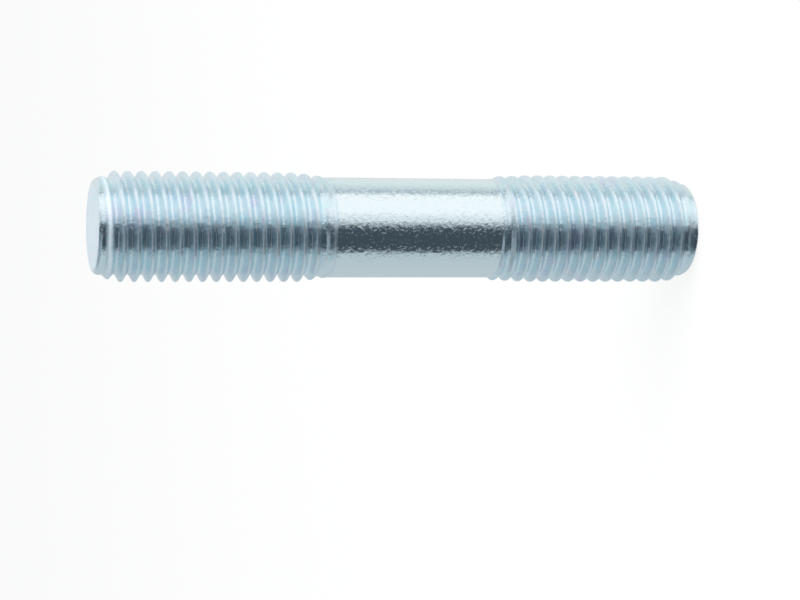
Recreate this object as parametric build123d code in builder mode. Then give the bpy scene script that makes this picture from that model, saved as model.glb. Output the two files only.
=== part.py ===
from build123d import *
import os
from math import radians, tan

# A double ended stud, M16 x 2, 90.5 long: a steel bar with a thread rolled on each end and a plain shank
# left between them. Each threaded end is modelled over its crests, without the groove. It stands on
# its bottom end face, with +Z along the bar. Millimetres and degrees throughout.

# Thread
thread_diameter = 16.0  # over the crests
pitch = 2.0
flank_angle = 60.0  # between the two flanks of the groove
bottom_thread_length = 31.2  # each with its point and its runout
top_thread_length = 34.6

# Shank, and the runouts where the crests fall away to it
shank_length = 24.7
top_runout_length = 4.6
bottom_runout_length = 6.0
runout_rounding = 10.0  # radius of the bends that ease a runout into crests and shank
shoulder_height = 0.4  # the bottom runout ends in a small step, where the edge of the rolling die stood
shoulder_length = 0.6
shoulder_rounding = 0.4

# Points
point_diameter = 13.4  # where the slope of the point would meet the end face
point_angle = 23.0  # slope of the point, against the axis
rim_rounding = 0.8  # radius round each end face

# A bar is threaded by rolling at the pitch diameter, which is what the shank keeps: 3/8 of the sharp
# V's height below the crests.
v_height = pitch / (2 * tan(radians(flank_angle / 2)))
crest_radius = thread_diameter / 2
shank_radius = crest_radius - v_height * 3 / 8
shoulder_radius = shank_radius + shoulder_height
point_radius = point_diameter / 2
point_length = (crest_radius - point_radius) / tan(radians(point_angle))

# Heights along the bar, from the bottom end face
shank_bottom = bottom_thread_length
shank_top = shank_bottom + shank_length
top_face = shank_top + top_thread_length

# Corners of the half section from the bottom end up: distance from the axis, height and rounding
corners = (
    (point_radius, 0, rim_rounding),
    (crest_radius, point_length, 0),
    (crest_radius, shank_bottom - bottom_runout_length, runout_rounding),
    (shoulder_radius, shank_bottom - shoulder_length, shoulder_rounding),
    (shank_radius, shank_bottom, shoulder_rounding),
    (shank_radius, shank_top, runout_rounding),
    (crest_radius, shank_top + top_runout_length, runout_rounding),
    (crest_radius, top_face - point_length, 0),
    (point_radius, top_face, rim_rounding),
)

with BuildPart() as stud:
    with BuildSketch(Plane.XZ):
        with BuildLine():
            surface_line = FilletPolyline(
                (0, 0),
                [(distance, height) for distance, height, rounding in corners],
                (0, top_face),
                radius=[rounding for distance, height, rounding in corners],
            )
            Line(surface_line @ 1, surface_line @ 0)
        make_face()
    revolve(axis=Axis.Z)

os.makedirs("parts", exist_ok=True)
stud.part.label = "stud"
export_step(stud.part, "parts/stud.step")
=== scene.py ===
from math import atan2, cos, hypot, pi, radians, sin, tan

import bmesh
import bpy
from mathutils import Matrix, Vector


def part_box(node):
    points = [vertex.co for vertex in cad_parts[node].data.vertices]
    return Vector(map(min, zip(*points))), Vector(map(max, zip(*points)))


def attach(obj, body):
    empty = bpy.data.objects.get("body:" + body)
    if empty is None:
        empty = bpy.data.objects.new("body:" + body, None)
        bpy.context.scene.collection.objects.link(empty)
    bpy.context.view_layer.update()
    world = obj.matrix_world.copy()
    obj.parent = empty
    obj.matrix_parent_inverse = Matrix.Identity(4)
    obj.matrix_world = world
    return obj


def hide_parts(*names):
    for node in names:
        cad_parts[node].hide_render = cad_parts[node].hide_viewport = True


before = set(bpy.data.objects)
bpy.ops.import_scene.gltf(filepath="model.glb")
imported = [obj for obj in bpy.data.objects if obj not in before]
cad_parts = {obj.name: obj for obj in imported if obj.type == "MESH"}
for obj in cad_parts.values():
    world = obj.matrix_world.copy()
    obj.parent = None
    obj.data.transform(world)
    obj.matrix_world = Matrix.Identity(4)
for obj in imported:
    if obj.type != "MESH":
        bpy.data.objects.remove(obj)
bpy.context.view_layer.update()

MM = 0.001  # the stud's sizes are in millimetres, and all else in metres


# --- The stud ------------------------------------------------------------------------------------
# One bar of cold drawn steel, sawn to length, chamfered and zinc plated. Its two ends are rolled
# between flat dies, which press the grooves in and push the metal up into crests, so that the
# crests stand higher than the plain shank, and both fade out over the last turns beside it.
top_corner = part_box("stud")[1] / MM
crest_radius = top_corner.x
overall_length = top_corner.z
pitch = 2.0
flank = radians(30)  # of each side of the groove, against a plane square to the bar
v_height = pitch / (2 * tan(flank))
shank_radius = crest_radius - 3 / 8 * v_height
root_radius = 6.92  # at the bottom of the groove
crest_round = 0.30  # the metal doesn't quite fill the die, so the crests are left round
root_round = root_radius - (crest_radius - v_height) - crest_round
round_steps = 4  # over half of a crest, and over half of a root
turn_steps = 96
step_angle = 2 * pi / turn_steps
turns_below = 3  # drawn below the end face, for the length that is unrolled over the rim
shank_start = 0.8  # how much of the shank is made with each end
merge_gap = 0.002  # vertices that lie closer than this become one
tiny = 1e-4

# The point: a rounded rim, and a slope up to the crests
rim_round = 0.8
point_angle = radians(23)
point_radius = 6.7  # where the slope would meet the end face
face_ring = 0.3  # how much of the end face is drawn with the rim
bare_length = 0.8  # over which the thread comes up out of the rim
point_groove = 0.1  # depth of the groove on the slope
crest_blend = 0.15  # rounding between the crests and the slope
groove_blend = 0.3  # rounding between the groove and the slope

# The threads. crest_at is the height of a crest at the seam, and crests and groove are the runouts:
# how each comes to its full height or depth, as (distance from the shank, share).
BOTTOM_THREAD = {
    "length": 31.2,
    "crest_at": 1.60,
    "crests": ((0.0, 0.0), (0.6, 0.62), (6.0, 1.0)),
    "groove": ((0.6, 0.0), (3.0, 1.0)),
    "rub": 0.0,
    "first_crest": 0.5,
}
TOP_THREAD = {
    "length": 34.6,
    "crest_at": 1.01,
    "crests": ((0.1, 0.0), (4.6, 1.0)),
    "groove": ((-0.3, 0.0), (0.3, 0.15), (4.8, 1.0)),
    "rub": 1.8,
    "first_crest": 6.0,
}

# How dull the plate is: 1 on a crest of full height. The first crest has first_crest more, and the
# ring beside the shank, which the edge of the die rubbed, has rub.
root_dull = 0.2
face_dull = 2.0  # the saw's cut
first_crest_at = 1.7  # from the end face
first_crest_reach = 0.9
rub_at = 0.45  # from the shank
rub_reach = 0.4


def half_groove():
    """From the middle of a crest to the bottom of the groove: (distance along the bar, radius)."""
    turns = [(pi / 2 - flank) * step / round_steps for step in range(round_steps + 1)]
    crest = [(crest_round * sin(turn), crest_radius - crest_round * (1 - cos(turn))) for turn in turns]
    root = [
        (pitch / 2 - root_round * sin(turn), root_radius + root_round * (1 - cos(turn)))
        for turn in reversed(turns)
    ]
    (x0, r0), (x1, r1) = crest[-1], root[0]
    side = [(x0 + (x1 - x0) * share, r0 + (r1 - r0) * share) for share in (1 / 3, 2 / 3)]
    return crest + side + root


def along_line(points, x):
    """A line through points, read at x, and level past its two ends."""
    if x <= points[0][0]:
        return points[0][1]
    for (x0, y0), (x1, y1) in zip(points, points[1:]):
        if x < x1:
            share = (x - x0) / (x1 - x0)
            return y0 + (y1 - y0) * share
    return points[-1][1]


def smooth_min(a, b, blend):
    """The smaller of two values, eased from the one to the other where they come close."""
    near = max(blend - abs(a - b), 0.0) / blend
    return min(a, b) - near * near * blend / 4


def peak(x, at, reach):
    """1 at one place, and falling evenly to 0 at its reach on either side."""
    return max(1 - abs(x - at) / reach, 0.0)


rim_turn = pi / 2 - point_angle
rim_top = rim_round * (1 - sin(point_angle))  # height where the rim meets the slope of the point
flat_radius = point_radius - rim_round * tan(rim_turn / 2)
rim_bottom = rim_top - rim_round * rim_turn  # the same on the bar's length as it is unrolled


def point_place(along):
    """Where the bar's end has its surface: radius and height, by the length unrolled over the rim."""
    if along >= rim_top:
        return point_radius + along * tan(point_angle), along
    if along <= rim_bottom:
        return flat_radius + along - rim_bottom, 0.0
    turned = (along - rim_bottom) / rim_round
    return flat_radius + rim_round * sin(turned), rim_round * (1 - cos(turned))


def threaded_end(length, crest_at, crests, groove, rub, first_crest):
    """One end of the stud, standing on its own end face, with a little of the shank, in millimetres."""
    bm = bmesh.new()
    half = half_groove()
    whole = half + [(pitch - x, r) for x, r in reversed(half[1:-1])]
    bottom, top = rim_bottom - face_ring, length + shank_start
    rows = []
    crest = crest_at - turns_below * pitch
    while crest < top:
        rows += [(crest + x, r) for x, r in whole]
        crest += pitch
    section = [bm.verts.new((r, 0, z)) for z, r in rows]
    edges = [bm.edges.new(pair) for pair in zip(section, section[1:])]
    bmesh.ops.spin(
        bm, geom=section + edges, cent=(0, 0, 0), axis=(0, 0, 1), dvec=(0, 0, pitch / turn_steps),
        angle=2 * pi, steps=turn_steps, use_merge=False, use_duplicate=False,
    )
    bmesh.ops.remove_doubles(bm, verts=bm.verts, dist=merge_gap)
    for plane, outward in ((bottom, -1), (top, 1)):
        bmesh.ops.bisect_plane(
            bm, geom=bm.verts[:] + bm.edges[:] + bm.faces[:], dist=1e-5,
            plane_co=(0, 0, plane), plane_no=(0, 0, outward), clear_outer=True,
        )

    # the even thread is now fitted to the bar: its runout, its point and its rim
    full_depth = crest_radius - root_radius
    dull_layer = bm.verts.layers.float.new("dull")
    for v in bm.verts:
        radius, along = hypot(v.co.x, v.co.y), v.co.z
        angle = atan2(v.co.y, v.co.x)
        left = length - along
        share = (radius - root_radius) / full_depth
        crest_line = shank_radius + (crest_radius - shank_radius) * along_line(crests, left)
        root_line = shank_radius + (root_radius - shank_radius) * along_line(groove, left)
        slope, height = point_place(along)
        crest_line = smooth_min(crest_line, slope, crest_blend)
        root_line = smooth_min(root_line, slope - point_groove, groove_blend)
        thread = root_line + (crest_line - root_line) * share
        bare = min(max((along - rim_top) / bare_length, 0.0), 1.0)
        radius = slope + (thread - slope) * bare
        # each cut ring keeps one vertex to each step of the turn, so that the shank can join the ends
        if min(abs(along - bottom), abs(along - top)) < tiny:
            angle = round(angle / step_angle) * step_angle
        v.co = (radius * cos(angle), radius * sin(angle), height)
        dull = (root_dull + (1 - root_dull) * share) * (crest_line - root_line) / full_depth
        dull += first_crest * share ** 2 * peak(along, first_crest_at, first_crest_reach)
        dull = max(dull, rub * peak(left, rub_at, rub_reach))
        v[dull_layer] = face_dull if height == 0.0 else dull
    bmesh.ops.remove_doubles(bm, verts=bm.verts, dist=merge_gap)
    rim_edges = [e for e in bm.edges if e.is_boundary and e.verts[0].co.z < tiny]
    bmesh.ops.edgeloop_fill(bm, edges=rim_edges)
    return bm


def stud_mesh():
    mesh = bpy.data.meshes.new("stud_thread")
    bm = bmesh.new()
    middle = (0, 0, overall_length / 2)
    for thread, upside_down in ((BOTTOM_THREAD, False), (TOP_THREAD, True)):
        end = threaded_end(**thread)
        if upside_down:
            bmesh.ops.rotate(end, verts=end.verts, cent=middle, matrix=Matrix.Rotation(pi, 3, "X"))
        end.to_mesh(mesh)
        end.free()
        bm.from_mesh(mesh)
    bmesh.ops.bridge_loops(bm, edges=[e for e in bm.edges if e.is_boundary])
    bmesh.ops.recalc_face_normals(bm, faces=bm.faces)
    bmesh.ops.scale(bm, verts=bm.verts, vec=(MM, MM, MM))
    for face in bm.faces:
        face.smooth = True
    bm.to_mesh(mesh)
    bm.free()
    return mesh


def linear(hex_colour):
    """A colour written as sRGB hex, in the linear values that shaders take."""
    channels = [int(hex_colour[i:i + 2], 16) / 255 for i in (1, 3, 5)]
    return tuple(c / 12.92 if c <= 0.04045 else ((c + 0.055) / 1.055) ** 2.4 for c in channels) + (1.0,)


def add(tree, kind, links=None, **settings):
    """A node with its settings, and links from {its input: another node's output, or a value}."""
    node = tree.nodes.new(kind)
    for name, value in settings.items():
        setattr(node, name, value)
    for name, source in (links or {}).items():
        if hasattr(source, "is_output"):
            tree.links.new(source, node.inputs[name])
        else:
            node.inputs[name].default_value = source
    return node


def fill_ramp(node, stops):
    """A colour ramp's stops, from (position, sRGB hex)."""
    elements = node.color_ramp.elements
    while len(elements) < len(stops):
        elements.new(0.5)
    for stop, (position, colour) in zip(elements, stops):
        stop.position = position
        stop.color = linear(colour)


# The film on the thread's zinc, from lavender over a cold blue to a plain grey: (noise, colour)
FILM = ((0.32, "#E6EBFA"), (0.42, "#E1F5FD"), (0.50, "#ECF8FE"), (0.58, "#DCF5FD"), (0.68, "#EDF4FA"))
shank_film = "#EEFAFE"
streak_width = 1.6667  # along the bar
streak_density = 0.35  # round the bar, against that along it
# The next two are some four times finer in life, and drawn so coarse that they show
peel_size = 0.6667
peel_height = 0.04
flake_size = 0.4545
flake_height = 0.014


def zinc_plate():
    # Bright zinc, plated on drawn and rolled steel. To the eye it is a clear, cold mirror with a
    # faint orange peel and glinting specks on the shank, and a little hazy and bluer on the thread.
    material = bpy.data.materials.new("bright_zinc_plate")
    material.use_nodes = True
    tree = material.node_tree
    shader = tree.nodes["Principled BSDF"]
    place = add(tree, "ShaderNodeTexCoord").outputs["Object"]
    dull = add(tree, "ShaderNodeAttribute", attribute_name="dull").outputs["Fac"]

    # the film drifts in streaks that run round the bar, as the dies rolled it
    round_bar = add(
        tree, "ShaderNodeMapping", {"Vector": place, "Scale": (streak_density, streak_density, 1.0)}
    )
    drift = add(
        tree, "ShaderNodeTexNoise",
        {
            "Vector": round_bar.outputs["Vector"], "Scale": 1 / (streak_width * MM),
            "Detail": 3.0, "Roughness": 0.6,
        },
    )
    tints = add(tree, "ShaderNodeValToRGB", {"Fac": drift.outputs["Fac"]})
    fill_ramp(tints, FILM)
    threaded = add(tree, "ShaderNodeMapRange", {"Value": dull, "From Max": 0.05})
    film = add(tree, "ShaderNodeMix", {"Factor": threaded.outputs["Result"]}, data_type="RGBA")
    film.inputs["A"].default_value = linear(shank_film)
    tree.links.new(tints.outputs["Color"], film.inputs["B"])
    tree.links.new(film.outputs["Result"], shader.inputs["Base Color"])

    rough = add(
        tree, "ShaderNodeMapRange", {"Value": dull, "From Max": 0.4, "To Min": 0.12, "To Max": 0.30}
    )
    tree.links.new(rough.outputs["Result"], shader.inputs["Roughness"])
    # the crests, which the dies never touch, have a haze that takes light from all sides
    haze = add(
        tree, "ShaderNodeMapRange",
        {"Value": dull, "From Min": 0.5, "From Max": 5.0, "To Min": 1.0, "To Max": 0.60},
    )
    tree.links.new(haze.outputs["Result"], shader.inputs["Metallic"])

    # orange peel of the plate, over the grain of the steel
    peel = add(
        tree, "ShaderNodeTexNoise",
        {"Vector": place, "Scale": 1 / (peel_size * MM), "Detail": 1.0, "Roughness": 0.5},
    )
    bump = add(
        tree, "ShaderNodeBump",
        {"Height": peel.outputs["Fac"], "Strength": 1.0, "Distance": peel_height * MM},
    )
    # flat flakes with steep edges, which catch the light out of the dark reflection
    blots = add(
        tree, "ShaderNodeTexNoise",
        {"Vector": place, "Scale": 1 / (flake_size * MM), "Detail": 3.0, "Roughness": 0.6},
    )
    flakes = add(
        tree, "ShaderNodeMapRange", {"Value": blots.outputs["Fac"], "From Min": 0.53, "From Max": 0.67},
        interpolation_type="SMOOTHSTEP",
    )
    flaked = add(
        tree, "ShaderNodeBump",
        {
            "Height": flakes.outputs["Result"], "Strength": 1.0, "Distance": flake_height * MM,
            "Normal": bump.outputs["Normal"],
        },
    )
    tree.links.new(flaked.outputs["Normal"], shader.inputs["Normal"])
    return material


stud = bpy.data.objects.new("stud_bar", stud_mesh())
bpy.context.scene.collection.objects.link(stud)
stud.data.materials.append(zinc_plate())
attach(stud, "root")
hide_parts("stud")


# --- Floor ---------------------------------------------------------------------------------------
# A plain pale table top that the stud stands on. Most of its white is its own, so that it stays even
# far off, and the rest carries the stud's shadow. The metal mirrors the room instead of it.
floor_half_width = 3.0
own_white = 0.90


def pale_floor():
    # Matt white board, which gives the eye no gloss at all
    material = bpy.data.materials.new("pale_floor")
    material.use_nodes = True
    tree = material.node_tree
    shader = tree.nodes["Principled BSDF"]
    shader.inputs["Base Color"].default_value = linear("#FAFAFA")
    shader.inputs["Roughness"].default_value = 1.0
    shader.inputs["Specular IOR Level"].default_value = 0.0
    seen = add(tree, "ShaderNodeLightPath").outputs["Is Camera Ray"]
    white = add(tree, "ShaderNodeEmission", {"Color": linear("#FEFEFE"), "Strength": 1.0})
    share = add(tree, "ShaderNodeMath", {0: seen, 1: own_white}, operation="MULTIPLY")
    both = add(
        tree, "ShaderNodeMixShader", {0: share.outputs[0], 1: shader.outputs[0], 2: white.outputs[0]}
    )
    tree.links.new(both.outputs[0], tree.nodes["Material Output"].inputs["Surface"])
    return material


floor_mesh = bpy.data.meshes.new("floor")
bm = bmesh.new()
bmesh.ops.create_grid(bm, x_segments=1, y_segments=1, size=floor_half_width)
bm.to_mesh(floor_mesh)
bm.free()
floor = bpy.data.objects.new("floor", floor_mesh)
floor_mesh.materials.append(pale_floor())
bpy.context.scene.collection.objects.link(floor)
floor.visible_glossy = False


# --- Studio light --------------------------------------------------------------------------------
# The room round the stud, by the compass: 0 is towards the camera, and the turn goes by -X. The
# metal shows it as stripes along the bar: a white window wall, a dark gap in front and pale walls.
ROOM = (
    (-180, "#E4E5E8"), (-140, "#E8E9E9"), (-119, "#E2ECE9"), (-103, "#D3DCDC"), (-91, "#B0BAC0"),
    (-84, "#C8D0D4"), (-79, "#FFFFFF"), (-36, "#FFFFFF"), (-14, "#DCE2E6"), (2, "#46505A"),
    (20, "#424C54"), (55, "#424C54"), (66, "#BCC6CA"), (90, "#C0C9CC"), (165, "#C4CCD0"),
    (180, "#E4E5E8"),
)
shaded_wall = "#98A2AA"
world = bpy.data.worlds.new("studio")
bpy.context.scene.world = world
world.use_nodes = True
tree = world.node_tree
background = tree.nodes["Background"]
facing = add(tree, "ShaderNodeTexCoord")
split = add(tree, "ShaderNodeSeparateXYZ", {"Vector": facing.outputs["Generated"]})
minus_x = add(tree, "ShaderNodeMath", {0: split.outputs["X"], 1: -1.0}, operation="MULTIPLY")
minus_y = add(tree, "ShaderNodeMath", {0: split.outputs["Y"], 1: -1.0}, operation="MULTIPLY")

# the camera's side of the room reaches over the stud, and some way under it
over = add(
    tree, "ShaderNodeMapRange", {"Value": split.outputs["Z"], "From Min": 0.55, "To Max": 1.0}
)
under = add(
    tree, "ShaderNodeMapRange",
    {"Value": split.outputs["Z"], "From Min": -0.6, "From Max": -1.0, "To Max": 0.6},
)
reach = add(
    tree, "ShaderNodeMath", {0: over.outputs["Result"], 1: under.outputs["Result"]}, operation="ADD"
)
forward = add(tree, "ShaderNodeMath", {0: minus_y.outputs[0], 1: reach.outputs[0]}, operation="ADD")
compass = add(
    tree, "ShaderNodeMath", {0: minus_x.outputs[0], 1: forward.outputs[0]}, operation="ARCTAN2"
)
round_room = add(
    tree, "ShaderNodeMath", {0: compass.outputs[0], 1: 1 / (2 * pi), 2: 0.5}, operation="MULTIPLY_ADD"
)
walls = add(tree, "ShaderNodeValToRGB", {"Fac": round_room.outputs[0]})
fill_ramp(walls, [((angle + 180) / 360, colour) for angle, colour in ROOM])

# high up, the wall on the side of -X lies in the shade
high_up = add(
    tree, "ShaderNodeMapRange", {"Value": split.outputs["Z"], "From Min": 0.40, "From Max": 0.65}
)
sideways = add(
    tree, "ShaderNodeMapRange", {"Value": minus_x.outputs[0], "From Min": 0.1, "From Max": 0.4}
)
shade = add(
    tree, "ShaderNodeMath", {0: high_up.outputs["Result"], 1: sideways.outputs["Result"]},
    operation="MULTIPLY",
)
room = add(tree, "ShaderNodeMix", {"Factor": shade.outputs[0]}, data_type="RGBA")
tree.links.new(walls.outputs["Color"], room.inputs["A"])
room.inputs["B"].default_value = linear(shaded_wall)
tree.links.new(room.outputs["Result"], background.inputs["Color"])
background.inputs["Strength"].default_value = 1.0

# one soft box, above and to the side, which the metal doesn't mirror
box_place = Vector((0.25, -0.2, 0.6))
box_target = Vector((0, 0, 0.04))
box_data = bpy.data.lights.new("soft_box", "AREA")
box_data.size = 0.5
box_data.energy = 5.2
soft_box = bpy.data.objects.new("soft_box", box_data)
bpy.context.scene.collection.objects.link(soft_box)
soft_box.location = box_place
soft_box.rotation_euler = (box_target - box_place).to_track_quat("-Z", "Y").to_euler()
soft_box.visible_glossy = False


# --- Camera --------------------------------------------------------------------------------------
# It stands in front of the stud and a little above, and is turned on its side, so that the stud
# lies level in the frame with its top end to the left.
look_down = radians(15.4)
camera_distance = 0.3626
aim = Vector((-10.68 * MM, 0, 44.86 * MM))
tilt = radians(-0.16)
camera_data = bpy.data.cameras.new("camera")
camera_data.lens = 110.25
camera_data.sensor_width = 36.0
camera = bpy.data.objects.new("camera", camera_data)
bpy.context.scene.collection.objects.link(camera)
back = Vector((0, -cos(look_down), sin(look_down)))
across = Vector((1, 0, 0))
on_side = Matrix((across.cross(back), across, back)).transposed().to_4x4()
stand = Matrix.Translation(aim + back * camera_distance)
camera.matrix_world = stand @ on_side @ Matrix.Rotation(tilt, 4, "Z")
bpy.context.scene.camera = camera
bpy.context.scene.view_settings.view_transform = "Standard"
